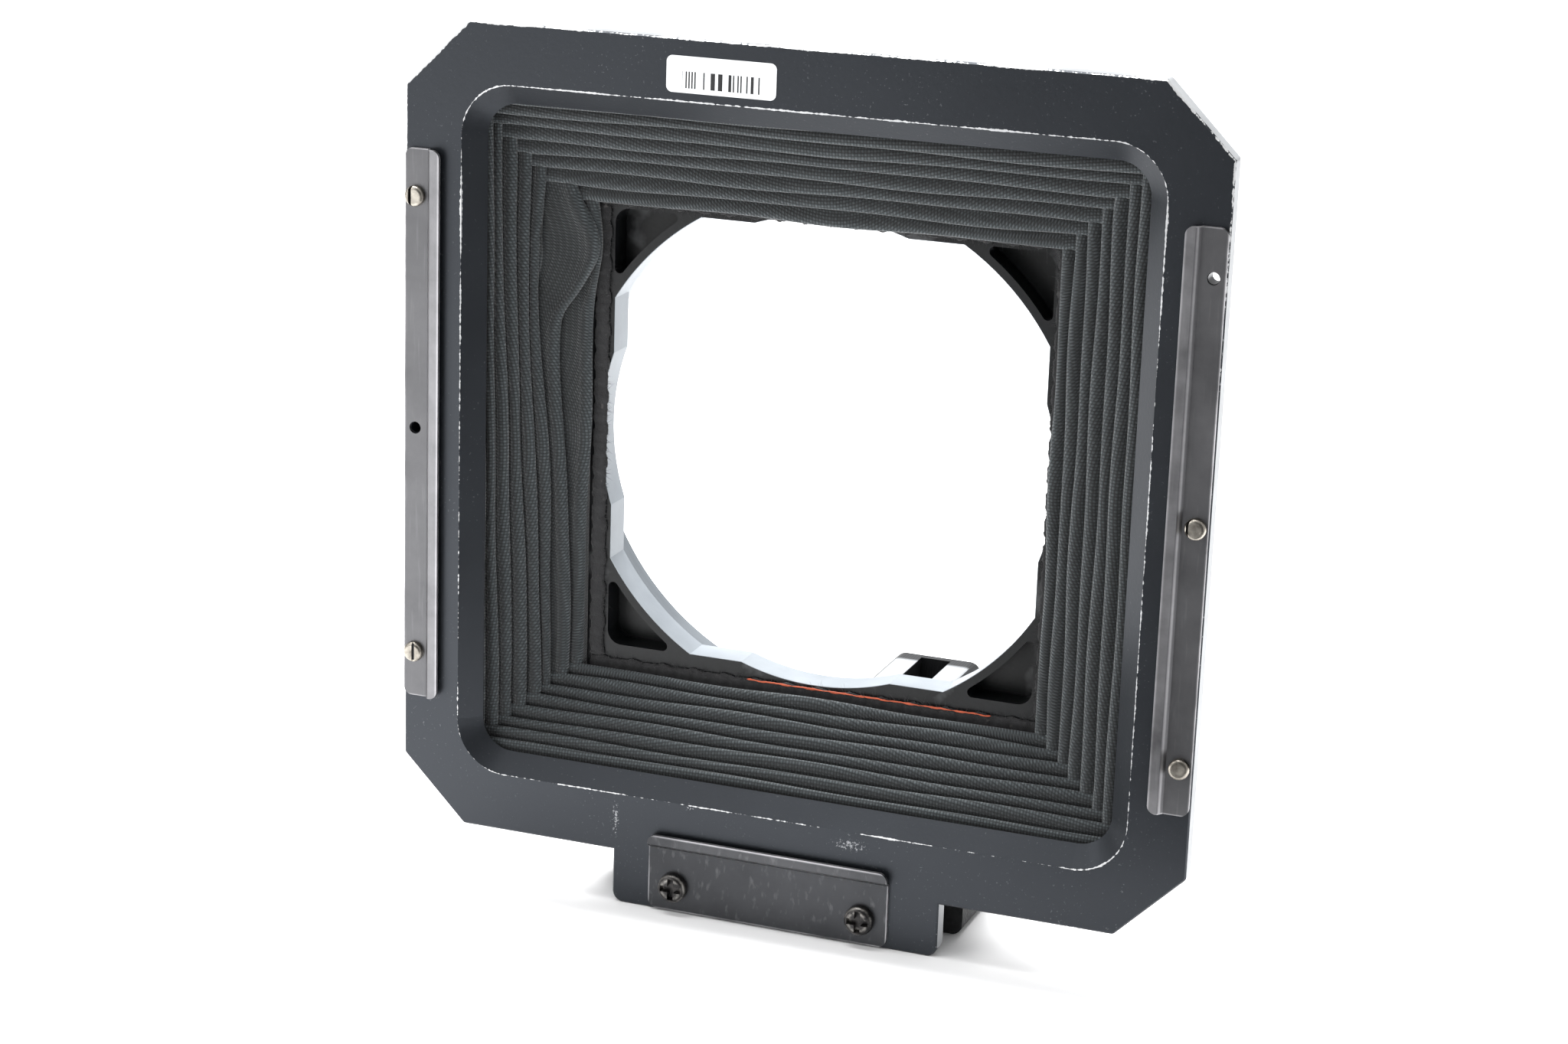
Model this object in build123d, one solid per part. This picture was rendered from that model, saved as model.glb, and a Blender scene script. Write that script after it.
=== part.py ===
from build123d import *

import os
from collections import namedtuple
from math import cos, pi, radians, sin

# Bellows mask holder of a large-format view camera: a square front frame that takes sliding masks,
# a collapsed cloth bellows, and a rear frame with a round lens ring that slides along a support rail.
# The model is drawn about the optical axis: X to the right, Y backwards, Z up, with the front face
# of the front plate at Y = 0. Everything is then moved so that the origin is at the bottom centre.

# ---- Driving dimensions, millimetres -------------------------------------------------------------

# Front plate
plate_side = 220.0
plate_thick = 5.0
corner_cut = 18.0
corner_round = 1.5
plate_edge_break = 0.4
window_border = 16.0
window_bevel = 5.3
window_front_round = 14.0
window_rear_round = 8.7
tab_width = 92.4
tab_height = 14.9
tab_root = 5.0
tab_shift = -1.1
tab_round = 3.0

# Guide rails that hold a mask's left and right edges
guide_end_gap = 34.8
guide_seat = 6.6
guide_bend = 1.1
guide_lip = 2.7
guide_rise = 1.5
guide_sheet = 1.0
guide_inset = 0.3
guide_round = 2.2
guide_screw_end_gap = 12.6
guide_screw_edge = 3.1
guide_raise = 0.5

# Bottom clip that holds a mask's lower edge
clip_width = 67.8
clip_seat = 17.4
clip_shift = -2.5
clip_bottom_gap = 0.6
clip_round = 2.4
clip_screw_end_gap = 7.35
clip_screw_height = 7.5

# Screws: radius of the shank, radius and height of the head
ScrewSize = namedtuple("ScrewSize", "shank head rise")
guide_screw = ScrewSize(1.45, 2.75, 1.7)
clip_screw = ScrewSize(1.95, 4.0, 2.6)
frame_screw = ScrewSize(1.95, 3.6, 2.2)
carriage_screw = ScrewSize(1.95, 3.5, 4.0)
ring_screw = ScrewSize(1.45, 2.7, 1.6)
thread_clearance = 0.05
screw_passage = 0.2
head_clearance = 0.05
overcut = 0.01
cut_margin = 1.0
slot_width = 0.8
slot_depth = 0.85
head_round_share = 0.55
recess_depth = 1.7
recess_span = 6.0
recess_arm = 1.7
socket_radius = 1.7
socket_depth = 2.0
guide_hole_floor = 0.8
clip_hole_floor = 0.6
ring_hole_floor = 2.7
screw_end_room = 0.4

# Inventory label
label_width = 29.6
label_height = 9.3
label_thick = 0.2
label_round = 1.6
label_x = -22.2
label_from_top = 9.1

# Bellows and the frame that holds its front edge
retainer_border = 8.3
retainer_thick = 1.5
retainer_gap = 0.6
bellows_wall_front = 7.7
bellows_wall_rear = 8.5
bellows_rear_gap = 2.5
bellows_collar = 1.2
collar_gap = 0.3

# Rear frame
frame_front_y = 24.0
frame_border = 16.0
frame_round = 7.0
frame_thick = 9.0
opening_side = 120.0
opening_corner_reach = 10.0
opening_relief = 3.6
pocket_oversize = 0.4
pocket_web = 2.3
pocket_depth = 7.5
pocket_round = 4.0
pocket_point_round = 1.4
frame_foot_width = 64.0
frame_foot_root = 10.0
frame_screw_depth = 9.0

# Lens ring behind the rear frame
ring_length = 6.5
ring_bore_step = 0.6
ring_wall = 4.4
ring_flange_thick = 2.0
ring_flange_reach = 14.0
ring_flange_inset = 2.0
ring_screw_reach = 7.9
ring_screw_angle = 29.2
ring_screw_turn = 25.0
ring_edge_break = 0.5

# Felt strips and the adhesive edge on the rear frame
felt_width = 4.0
felt_thick = 0.9
felt_inset = 1.4
felt_bottom_drop = 2.8
adhesive_width = 0.8
adhesive_thick = 0.3
adhesive_left = -19.0
adhesive_right = 50.0

# Support rail, its bracket and the shoe; all three lie a little to the left of the axis
rail_x = -1.2
rail_width = 28.0
rail_height = 8.0
rail_end_y = 139.0
rail_below_retainer = 5.0
rail_edge_break = 0.8
rail_hole_depth = 6.0
rail_screw_grip = 4.8
bracket_cheek = 7.0
bracket_length = 11.0
bracket_foot_gap = 2.9
bracket_roof = 3.0
bracket_round = 1.5
bracket_screw_pitch = 24.0
bracket_screw_grip = 7.2
bracket_hole_floor = 1.5
rail_screw_pitch = 9.0
plate_screw_sink = 0.2
bracket_screw_sink = 0.5
shoe_inset = 0.4
shoe_length = 35.0
shoe_height = 12.0
shoe_base = 4.0
shoe_slot = 9.2
shoe_end_wall = 2.4
shoe_lip_round = 3.6
shoe_screw_pitch = 17.0
shoe_screw_grip = 4.5
shoe_screw_turn = 20.0

# Carriage of the rear frame and its lock
carriage_width = 93.4
carriage_length = 22.0
carriage_gap = 1.0
carriage_roof = 4.0
carriage_round = 3.0
slide_clearance = 0.15
carriage_screw_from_rail = 10.0
carriage_screw_sink = 4.4
carriage_screw_grip = 7.5
stud_radius = 2.5
running_clearance = 0.05
stud_from_front = 5.0
tip_length = 2.0
tip_gap = 0.2
tip_radius = 2.3
knob_radius = 10.0
knob_length = 12.0
knob_gap = 1.2
knob_round = 1.5
knob_bore_depth = 8.4
knob_flutes = 12
knob_flute_radius = 1.6
knob_flute_offset = 0.7
accessory_hole_radius = 3.175
accessory_hole_depth = 10.0
accessory_hole_from_centre = 34.0

# ---- Places that follow from the dimensions -------------------------------------------------------

half_plate = plate_side / 2
plate_bottom_z = -half_plate
foot_z = plate_bottom_z - tab_height
window_front = plate_side - 2 * window_border
window_rear = window_front - 2 * window_bevel
retainer_side = window_rear + 2 * retainer_border
retainer_inner = window_rear + 2 * retainer_gap
bellows_front_y = plate_thick + retainer_thick
frame_back_y = frame_front_y + frame_thick
frame_side = opening_side + 2 * frame_border
corner_radius = opening_side / 2 + opening_corner_reach
relief_radius = opening_side / 2 + opening_relief
ring_bore_radius = corner_radius + ring_bore_step
felt_inner = opening_side / 2 + felt_inset
felt_outer = felt_inner + felt_width
felt_bottom_top_z = -felt_inner - felt_bottom_drop
bellows_rear_opening = opening_side + 2 * bellows_rear_gap
bellows_rear_outer = bellows_rear_opening + 2 * bellows_wall_rear

rail_top_z = -retainer_side / 2 - rail_below_retainer
rail_bottom_z = rail_top_z - rail_height
half_rail = rail_width / 2
bracket_back_y = plate_thick + bracket_length
bracket_foot_z = foot_z + bracket_foot_gap
bracket_floor = rail_bottom_z - bracket_foot_z
carriage_front_y = bracket_back_y + carriage_gap
carriage_back_y = carriage_front_y + carriage_length
carriage_top_z = rail_top_z + carriage_roof
half_carriage = carriage_width / 2
shoe_front_y = rail_end_y - shoe_length
shoe_seat_z = rail_top_z + shoe_base

guide_length = plate_side - 2 * guide_end_gap
guide_outer_x = half_plate - guide_inset
guide_width = guide_seat + guide_bend + guide_lip
guide_screw_x = guide_outer_x - guide_screw_edge
guide_screw_pitch = guide_length / 2 - guide_screw_end_gap
guide_screw_z = [guide_raise + k * guide_screw_pitch for k in (-1, 0, 1)]
guide_hole_depth = plate_thick - guide_hole_floor
clip_bottom_z = foot_z + clip_bottom_gap
clip_height = clip_seat + guide_bend + guide_lip
clip_screw_half_pitch = clip_width / 2 - clip_screw_end_gap
clip_screw_x = [clip_shift + k * clip_screw_half_pitch for k in (-1, 1)]
clip_screw_z = foot_z + clip_screw_height
clip_hole_depth = plate_thick - clip_hole_floor

bracket_screw_x = [rail_x + k * bracket_screw_pitch / 2 for k in (-1, 1)]
rail_screw_x = [rail_x + k * rail_screw_pitch / 2 for k in (-1, 1)]
rail_screw_y = plate_thick + bracket_length / 2
shoe_screw_y = [rail_end_y - shoe_length / 2 + k * shoe_screw_pitch / 2 for k in (-1, 1)]
carriage_screw_x = [rail_x + k * (half_rail + carriage_screw_from_rail) for k in (-1, 1)]
carriage_screw_y = frame_front_y + frame_thick / 2
ring_screw_radius = corner_radius + ring_screw_reach
ring_screw_x = ring_screw_radius * cos(radians(ring_screw_angle))
ring_screw_z = ring_screw_radius * sin(radians(ring_screw_angle))
corner_directions = [(i, j) for i in (-1, 1) for j in (-1, 1)]
ring_screw_places = [(i * ring_screw_x, j * ring_screw_z) for i, j in corner_directions]

stud_y = carriage_front_y + stud_from_front
stud_z = (rail_top_z + rail_bottom_z) / 2
stud_tip_x = rail_x - half_rail - tip_gap
knob_face_x = -half_carriage - knob_gap

front_most_y = -(guide_sheet + clip_screw.rise)
middle_y = (front_most_y + rail_end_y) / 2
place = Pos(0, -middle_y, -foot_z)

os.makedirs("parts", exist_ok=True)


def save(shape, name):
    """Writes one sub-part at its place in the assembly."""
    solids = (place * shape).solids()
    export_step(solids[0] if len(solids) == 1 else Compound(children=list(solids)), f"parts/{name}.step")


def face_at(sketch, y):
    """A sketch drawn in X and Z, laid in the plane at the depth y."""
    return Plane(origin=(0, y, 0), x_dir=(1, 0, 0), z_dir=(0, -1, 0)) * sketch


def slab(sketch, y_low, y_high):
    """A sketch drawn in X and Z, extended from y_low to y_high."""
    return extrude(face_at(sketch, y_high), amount=y_high - y_low)


def block(x, y, z):
    """A box from its low and high limits along each axis."""
    box = Box(x[1] - x[0], y[1] - y[0], z[1] - z[0])
    return Pos((x[0] + x[1]) / 2, (y[0] + y[1]) / 2, (z[0] + z[1]) / 2) * box


def rod(start, direction, radius, length):
    """A round bar that begins at a point and runs along a direction."""
    plane = Plane(origin=start, z_dir=direction)
    return extrude(plane * Circle(radius), amount=length)


def tapped_hole(start, direction, size, depth):
    """The hole that a screw's shank is driven into."""
    return rod(start, direction, size.shank + thread_clearance, depth)


def passage(start, direction, size, depth):
    """The wider hole that a screw's shank passes through."""
    return rod(start, direction, size.shank + screw_passage, depth)


def seat_for_head(start, direction, size, depth):
    """The round recess that takes a sunk screw head."""
    return rod(start, direction, size.head + head_clearance, depth)


def pan_screw(start, direction, size, length):
    """A pan-head screw: the head stands against the direction and the shank follows it."""
    out = tuple(-a for a in direction)
    cap = rod(start, out, size.head, size.rise)
    top = cap.faces().sort_by(Axis(start, out))[-1]
    cap = fillet(top.edges(), size.rise * head_round_share)
    return rod(start, direction, size.shank, length) + cap


def slotted_screw(start, direction, size, length, turn):
    """A pan-head screw with one straight slot, turned by an angle in degrees."""
    out = tuple(-a for a in direction)
    plane = Plane(origin=start, z_dir=out).rotated((0, 0, turn)).offset(size.rise - slot_depth)
    groove = extrude(plane * Rectangle(4 * size.head, slot_width), amount=slot_depth + cut_margin)
    return pan_screw(start, direction, size, length) - groove


def cross_screw(start, direction, size, length):
    """A pan-head screw with a four-armed recess."""
    out = tuple(-a for a in direction)
    plane = Plane(origin=start, z_dir=out).offset(size.rise - recess_depth)
    arms = Rectangle(recess_span, recess_arm) + Rectangle(recess_arm, recess_span)
    return pan_screw(start, direction, size, length) - extrude(plane * arms, amount=recess_depth + cut_margin)


def sunk_screw(start, direction, size, sink, length):
    """A flat-headed screw whose head lies below the surface that it is driven into."""
    seat = tuple(a + sink * b for a, b in zip(start, direction))
    return rod(seat, direction, size.head, size.rise) + rod(seat, direction, size.shank, length - sink)


# ---- Front standard -------------------------------------------------------------------------------


def window_cutter():
    """The bevelled window: wide at the front face and narrower at the back."""
    front = face_at(RectangleRounded(window_front, window_front, window_front_round), 0)
    rear = face_at(RectangleRounded(window_rear, window_rear, window_rear_round), plate_thick)
    return loft([front, rear], ruled=True)


def plate_outline():
    """The square with four cut corners and the tab below it."""
    outline = Rectangle(plate_side, plate_side)
    outline = chamfer(outline.vertices(), corner_cut)
    outline = fillet(outline.vertices(), corner_round)
    middle = plate_bottom_z + (tab_root - tab_height) / 2
    tab = Pos(tab_shift, middle) * Rectangle(tab_width, tab_height + tab_root)
    lowest = tab.vertices().group_by(Axis.Y)[0]
    return outline + fillet(lowest, tab_round)


def front_plate():
    plate = slab(plate_outline(), 0, plate_thick)
    rim = plate.faces().sort_by(Axis.Y)[0].outer_wire().edges()
    plate = chamfer(rim, plate_edge_break)
    plate = plate - window_cutter()
    for side in (-1, 1):
        for z in guide_screw_z:
            plate = plate - tapped_hole((side * guide_screw_x, -overcut, z), (0, 1, 0), guide_screw,
                                        guide_hole_depth)
    # The right hole at the top has been drilled right through.
    through = (guide_screw_x, -overcut, guide_screw_z[-1])
    plate = plate - tapped_hole(through, (0, 1, 0), guide_screw, plate_thick + cut_margin)
    for x in clip_screw_x:
        plate = plate - tapped_hole((x, -overcut, clip_screw_z), (0, 1, 0), clip_screw, clip_hole_depth)
    for x in bracket_screw_x:
        start = (x, -overcut, clip_screw_z)
        plate = plate - tapped_hole(start, (0, 1, 0), frame_screw, plate_thick + cut_margin)
        head_room = plate_screw_sink + frame_screw.rise + 2 * overcut
        plate = plate - seat_for_head(start, (0, 1, 0), frame_screw, head_room)
    return plate


def lipped_profile(seat):
    """The section of a guide: a flat seat, a short bend and a raised lip, all of one sheet."""
    bend_end = seat + guide_bend
    lip_end = bend_end + guide_lip
    under = [(0, 0), (seat, 0), (bend_end, guide_rise), (lip_end, guide_rise)]
    over = [(x, height + guide_sheet) for x, height in reversed(under)]
    return make_face(Polyline(*under, *over, close=True))


def guide_rail(side):
    """A guide rail: the section stands along Z, with the lip towards the window."""
    section = Plane(origin=(0, 0, 0), x_dir=(1, 0, 0), z_dir=(0, 0, -1)) * lipped_profile(guide_seat)
    rail = extrude(section, amount=guide_length / 2, both=True)
    outline = Pos(guide_width / 2, 0) * RectangleRounded(guide_width, guide_length, guide_round)
    rail = rail & slab(outline, -guide_rise - guide_sheet - cut_margin, cut_margin)
    rail = Pos(-guide_outer_x, 0, guide_raise) * rail
    for z in guide_screw_z:
        start = (-guide_screw_x, -guide_sheet - cut_margin, z)
        rail = rail - passage(start, (0, 1, 0), guide_screw, guide_sheet + 2 * cut_margin)
    return rail if side < 0 else rail.mirror(Plane.YZ)


def guide_screw_at(side, z, turn):
    """One slotted screw of a guide rail."""
    length = guide_sheet + guide_hole_depth - screw_end_room
    return slotted_screw((side * guide_screw_x, -guide_sheet, z), (0, 1, 0), guide_screw, length, turn)


def guide_rail_screws():
    """Four slotted screws: the left middle hole and the right top hole are empty."""
    low, middle, high = guide_screw_z
    return Compound(children=[
        guide_screw_at(-1, low, 12),
        guide_screw_at(-1, high, -32),
        guide_screw_at(1, low, 75),
        guide_screw_at(1, middle, -52),
    ])


def bottom_clip():
    """The clip: the same lipped section as the guides, laid across, with the lip uppermost."""
    section = Plane(origin=(0, 0, 0), x_dir=(0, 0, 1), z_dir=(1, 0, 0)) * lipped_profile(clip_seat)
    clip = extrude(section, amount=clip_width / 2, both=True)
    outline = Pos(0, clip_height / 2) * RectangleRounded(clip_width, clip_height, clip_round)
    clip = clip & slab(outline, -guide_rise - guide_sheet - cut_margin, cut_margin)
    clip = Pos(clip_shift, 0, clip_bottom_z) * clip
    for x in clip_screw_x:
        start = (x, -guide_sheet - cut_margin, clip_screw_z)
        clip = clip - passage(start, (0, 1, 0), clip_screw, guide_sheet + 2 * cut_margin)
    return clip


def clip_screws():
    length = guide_sheet + clip_hole_depth - screw_end_room
    return Compound(children=[
        cross_screw((x, -guide_sheet, clip_screw_z), (0, 1, 0), clip_screw, length) for x in clip_screw_x
    ])


def inventory_label():
    outline = RectangleRounded(label_width, label_height, label_round)
    return slab(Pos(label_x, half_plate - label_from_top) * outline, -label_thick, 0)


def bellows_front_frame():
    """A thin square frame that traps the bellows' front edge against the back of the plate."""
    outline = RectangleRounded(retainer_side, retainer_side, window_rear_round)
    outline = outline - RectangleRounded(retainer_inner, retainer_inner, window_rear_round)
    return slab(outline, plate_thick, bellows_front_y)


def square_tube(front_y, rear_y, front_inner, rear_inner, front_outer, rear_outer):
    """A tapering square tube between two depths."""
    outer = loft([face_at(Rectangle(front_outer, front_outer), front_y),
                  face_at(Rectangle(rear_outer, rear_outer), rear_y)], ruled=True)
    inner = loft([face_at(Rectangle(front_inner, front_inner), front_y),
                  face_at(Rectangle(rear_inner, rear_inner), rear_y)], ruled=True)
    return outer - inner


def bellows():
    """The folded cloth as one closed shape: a tapering square tube and the collar glued to the frame."""
    collar_y = frame_front_y - bellows_collar
    collar_inner = 2 * (felt_outer + felt_bottom_drop + collar_gap)
    folds = square_tube(bellows_front_y, collar_y, retainer_inner, bellows_rear_opening,
                        retainer_inner + 2 * bellows_wall_front, bellows_rear_outer)
    collar = square_tube(collar_y, frame_front_y, collar_inner, collar_inner,
                         bellows_rear_outer, bellows_rear_outer)
    return folds + collar


def rail_bracket():
    """The block behind the tab that carries the front end of the support rail."""
    half = half_rail + bracket_cheek
    body = block((rail_x - half, rail_x + half), (plate_thick, bracket_back_y),
                 (bracket_foot_z, rail_top_z + bracket_roof))
    body = fillet(body.edges().filter_by(Axis.Y), bracket_round)
    body = body - block((rail_x - half_rail, rail_x + half_rail),
                        (plate_thick - cut_margin, bracket_back_y + cut_margin), (rail_bottom_z, rail_top_z))
    for x in bracket_screw_x:
        start = (x, plate_thick - overcut, clip_screw_z)
        body = body - tapped_hole(start, (0, 1, 0), frame_screw, bracket_length - bracket_hole_floor)
    for x in rail_screw_x:
        start = (x, rail_screw_y, bracket_foot_z - overcut)
        body = body - tapped_hole(start, (0, 0, 1), frame_screw, bracket_floor + cut_margin)
        head_room = bracket_screw_sink + frame_screw.rise + 2 * overcut
        body = body - seat_for_head(start, (0, 0, 1), frame_screw, head_room)
    return body


def bracket_screws():
    length = plate_thick + bracket_screw_grip
    return Compound(children=[
        sunk_screw((x, 0, clip_screw_z), (0, 1, 0), frame_screw, plate_screw_sink, length)
        for x in bracket_screw_x
    ])


def rail_screws():
    length = bracket_floor + rail_screw_grip
    return Compound(children=[
        sunk_screw((x, rail_screw_y, bracket_foot_z), (0, 0, 1), frame_screw, bracket_screw_sink, length)
        for x in rail_screw_x
    ])


def support_rail():
    """A flat bar that runs back from the bracket, under the bellows and through the carriage."""
    body = block((rail_x - half_rail, rail_x + half_rail), (plate_thick, rail_end_y),
                 (rail_bottom_z, rail_top_z))
    end = body.faces().sort_by(Axis.Y)[-1].edges()
    body = chamfer(end, rail_edge_break)
    for x in rail_screw_x:
        start = (x, rail_screw_y, rail_bottom_z - overcut)
        body = body - tapped_hole(start, (0, 0, 1), frame_screw, rail_hole_depth)
    for y in shoe_screw_y:
        body = body - tapped_hole((rail_x, y, rail_top_z + overcut), (0, 0, -1), guide_screw, rail_hole_depth)
    return body


def camera_shoe():
    """The channel on the rail's rear end: two rounded lips, a slot between them and a closed end."""
    half = half_rail - shoe_inset
    body = block((rail_x - half, rail_x + half), (shoe_front_y, rail_end_y),
                 (rail_top_z, rail_top_z + shoe_height))
    long_top = body.edges().filter_by(Axis.Y).group_by(Axis.Z)[-1]
    body = fillet(long_top, shoe_lip_round)
    body = body - block((rail_x - shoe_slot / 2, rail_x + shoe_slot / 2),
                        (shoe_front_y - cut_margin, rail_end_y - shoe_end_wall),
                        (shoe_seat_z, rail_top_z + shoe_height + cut_margin))
    for y in shoe_screw_y:
        start = (rail_x, y, rail_top_z - cut_margin)
        body = body - passage(start, (0, 0, 1), guide_screw, shoe_base + 2 * cut_margin)
    return body


def shoe_screws():
    length = shoe_base + shoe_screw_grip
    return Compound(children=[
        slotted_screw((rail_x, y, shoe_seat_z), (0, 0, -1), guide_screw, length, shoe_screw_turn)
        for y in shoe_screw_y
    ])


# ---- Rear standard --------------------------------------------------------------------------------


def frame_opening():
    """The rear opening: a square with round corners, relieved by a circle at the middle of each side."""
    square = Rectangle(opening_side, opening_side) & Circle(corner_radius)
    return square + Circle(relief_radius)


def corner_pocket(side_x, side_z):
    """One blind three-sided pocket between a round corner of the opening and the square outside it."""
    half = opening_side / 2 + pocket_oversize
    quarter = Pos(side_x * half / 2, side_z * half / 2) * Rectangle(half, half)
    pocket = quarter - Circle(corner_radius + pocket_web)
    outermost = sorted(pocket.vertices(), key=lambda v: -(v.X**2 + v.Y**2))[:1]
    pocket = fillet(outermost, pocket_round)
    points = sorted(pocket.vertices(), key=lambda v: v.X**2 + v.Y**2)[:2]
    return fillet(points, pocket_point_round)


def frame_foot():
    """The part of the frame that reaches down to the carriage."""
    root_z = frame_foot_root - frame_side / 2
    return Pos(0, (carriage_top_z + root_z) / 2) * Rectangle(frame_foot_width, root_z - carriage_top_z)


def rear_frame():
    outline = RectangleRounded(frame_side, frame_side, frame_round) + frame_foot()
    frame = slab(outline - frame_opening(), frame_front_y, frame_back_y)
    for side_x, side_z in corner_directions:
        pocket = corner_pocket(side_x, side_z)
        frame = frame - slab(pocket, frame_front_y - cut_margin, frame_front_y + pocket_depth)
    for x, z in ring_screw_places:
        start = (x, frame_back_y + overcut, z)
        frame = frame - tapped_hole(start, (0, -1, 0), ring_screw, frame_thick - ring_hole_floor)
    for x in carriage_screw_x:
        start = (x, carriage_screw_y, carriage_top_z - overcut)
        frame = frame - tapped_hole(start, (0, 0, 1), carriage_screw, frame_screw_depth)
    return frame


def lens_ring():
    """The round ring behind the frame, with a thin flange that its screws go through."""
    bore = Circle(ring_bore_radius)
    flange_side = frame_side - 2 * ring_flange_inset
    flange = (Circle(corner_radius + ring_flange_reach) & Rectangle(flange_side, flange_side)) - bore
    body = slab(flange, frame_back_y, frame_back_y + ring_flange_thick)
    wall = Circle(ring_bore_radius + ring_wall) - bore
    body = body + slab(wall, frame_back_y, frame_back_y + ring_length)
    rear = body.faces().sort_by(Axis.Y)[-1].edges()
    body = chamfer(rear, ring_edge_break)
    for x, z in ring_screw_places:
        start = (x, frame_back_y - cut_margin, z)
        body = body - passage(start, (0, 1, 0), ring_screw, ring_flange_thick + 2 * cut_margin)
    return body


def lens_ring_screws():
    seat_y = frame_back_y + ring_flange_thick
    length = ring_flange_thick + frame_thick - ring_hole_floor - screw_end_room
    return Compound(children=[
        slotted_screw((x, seat_y, z), (0, -1, 0), ring_screw, length, ring_screw_turn * i)
        for i, (x, z) in enumerate(ring_screw_places)
    ])


def felt_strip(side):
    """A strip of felt along one side of the opening, glued to the frame's front face. The bottom one
    lies a little lower than the others."""
    y = (frame_front_y - felt_thick, frame_front_y)
    if side == "top":
        return block((-felt_outer, felt_outer), y, (felt_inner, felt_outer))
    if side == "bottom":
        return block((-felt_outer, felt_outer), y, (felt_bottom_top_z - felt_width, felt_bottom_top_z))
    x = (felt_inner, felt_outer) if side == "right" else (-felt_outer, -felt_inner)
    return block(x, y, (felt_bottom_top_z, felt_inner))


def adhesive_edge():
    """The edge of orange tape that shows along the bottom strip of felt."""
    felt_face_y = frame_front_y - felt_thick
    return block((adhesive_left, adhesive_right), (felt_face_y - adhesive_thick, felt_face_y),
                 (felt_bottom_top_z - adhesive_width, felt_bottom_top_z))


def carriage():
    """The foot of the rear standard: a block that slides on the support rail."""
    body = block((-half_carriage, half_carriage), (carriage_front_y, carriage_back_y),
                 (foot_z, carriage_top_z))
    body = fillet(body.edges().filter_by(Axis.Y), carriage_round)
    half_slot = half_rail + slide_clearance
    body = body - block((rail_x - half_slot, rail_x + half_slot),
                        (carriage_front_y - cut_margin, carriage_back_y + cut_margin),
                        (rail_bottom_z - slide_clearance, rail_top_z + slide_clearance))
    stud_hole = (-half_carriage - cut_margin, stud_y, stud_z)
    body = body - rod(stud_hole, (1, 0, 0), stud_radius + running_clearance, half_carriage)
    for x in carriage_screw_x:
        start = (x, carriage_screw_y, foot_z - overcut)
        body = body - tapped_hole(start, (0, 0, 1), carriage_screw, carriage_top_z - foot_z + cut_margin)
        head_room = carriage_screw_sink + carriage_screw.rise + 2 * overcut
        body = body - seat_for_head(start, (0, 0, 1), carriage_screw, head_room)
    for side in (-1, 1):
        middle = (carriage_front_y + carriage_back_y) / 2
        start = (side * accessory_hole_from_centre, middle, foot_z - overcut)
        body = body - rod(start, (0, 0, 1), accessory_hole_radius, accessory_hole_depth)
    return body


def carriage_screws():
    """Two socket-head screws up through the carriage into the foot of the frame."""
    length = carriage_top_z - foot_z + carriage_screw_grip
    fitted = []
    for x in carriage_screw_x:
        start = (x, carriage_screw_y, foot_z)
        screw = sunk_screw(start, (0, 0, 1), carriage_screw, carriage_screw_sink, length)
        socket = Plane(origin=start, z_dir=(0, 0, 1)) * RegularPolygon(socket_radius, 6)
        fitted.append(screw - extrude(socket, amount=carriage_screw_sink + socket_depth))
    return Compound(children=fitted)


# ---- Lock -----------------------------------------------------------------------------------------


def lock_stud():
    """The stud that the knob turns."""
    start = (stud_tip_x - tip_length, stud_y, stud_z)
    return rod(start, (-1, 0, 0), stud_radius, start[0] - knob_face_x + knob_bore_depth)


def stud_tip():
    """The nylon end that presses on the side of the rail."""
    return rod((stud_tip_x, stud_y, stud_z), (-1, 0, 0), tip_radius, tip_length)


def lock_knob():
    """A round fluted knob."""
    body = rod((knob_face_x, stud_y, stud_z), (-1, 0, 0), knob_radius, knob_length)
    outer = body.faces().sort_by(Axis.X)[0].edges()
    body = fillet(outer, knob_round)
    inside_x = knob_face_x + cut_margin
    for k in range(knob_flutes):
        angle = 2 * pi * k / knob_flutes
        reach = knob_radius + knob_flute_offset
        start = (inside_x, stud_y + reach * cos(angle), stud_z + reach * sin(angle))
        body = body - rod(start, (-1, 0, 0), knob_flute_radius, knob_length + 2 * cut_margin)
    return body - rod((inside_x, stud_y, stud_z), (-1, 0, 0), stud_radius, knob_bore_depth + cut_margin)


# ---- Assembly -------------------------------------------------------------------------------------

save(front_plate(), "front_plate")
save(guide_rail(-1), "left_guide_rail")
save(guide_rail(1), "right_guide_rail")
save(guide_rail_screws(), "guide_rail_screws")
save(bottom_clip(), "bottom_clip")
save(clip_screws(), "clip_screws")
save(inventory_label(), "inventory_label")
save(bellows_front_frame(), "bellows_front_frame")
save(bellows(), "bellows")
save(rail_bracket(), "rail_bracket")
save(bracket_screws(), "bracket_screws")
save(rail_screws(), "rail_screws")
save(support_rail(), "support_rail")
save(camera_shoe(), "camera_shoe")
save(shoe_screws(), "shoe_screws")
save(rear_frame(), "rear_frame")
save(lens_ring(), "lens_ring")
save(lens_ring_screws(), "lens_ring_screws")
for side in ("top", "bottom", "left", "right"):
    save(felt_strip(side), f"felt_strip_{side}")
save(adhesive_edge(), "adhesive_edge")
save(carriage(), "carriage")
save(carriage_screws(), "carriage_screws")
save(lock_stud(), "lock_stud")
save(stud_tip(), "stud_tip")
save(lock_knob(), "lock_knob")
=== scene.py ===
import bpy
import numpy as np
from mathutils import Matrix, Vector


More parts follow.
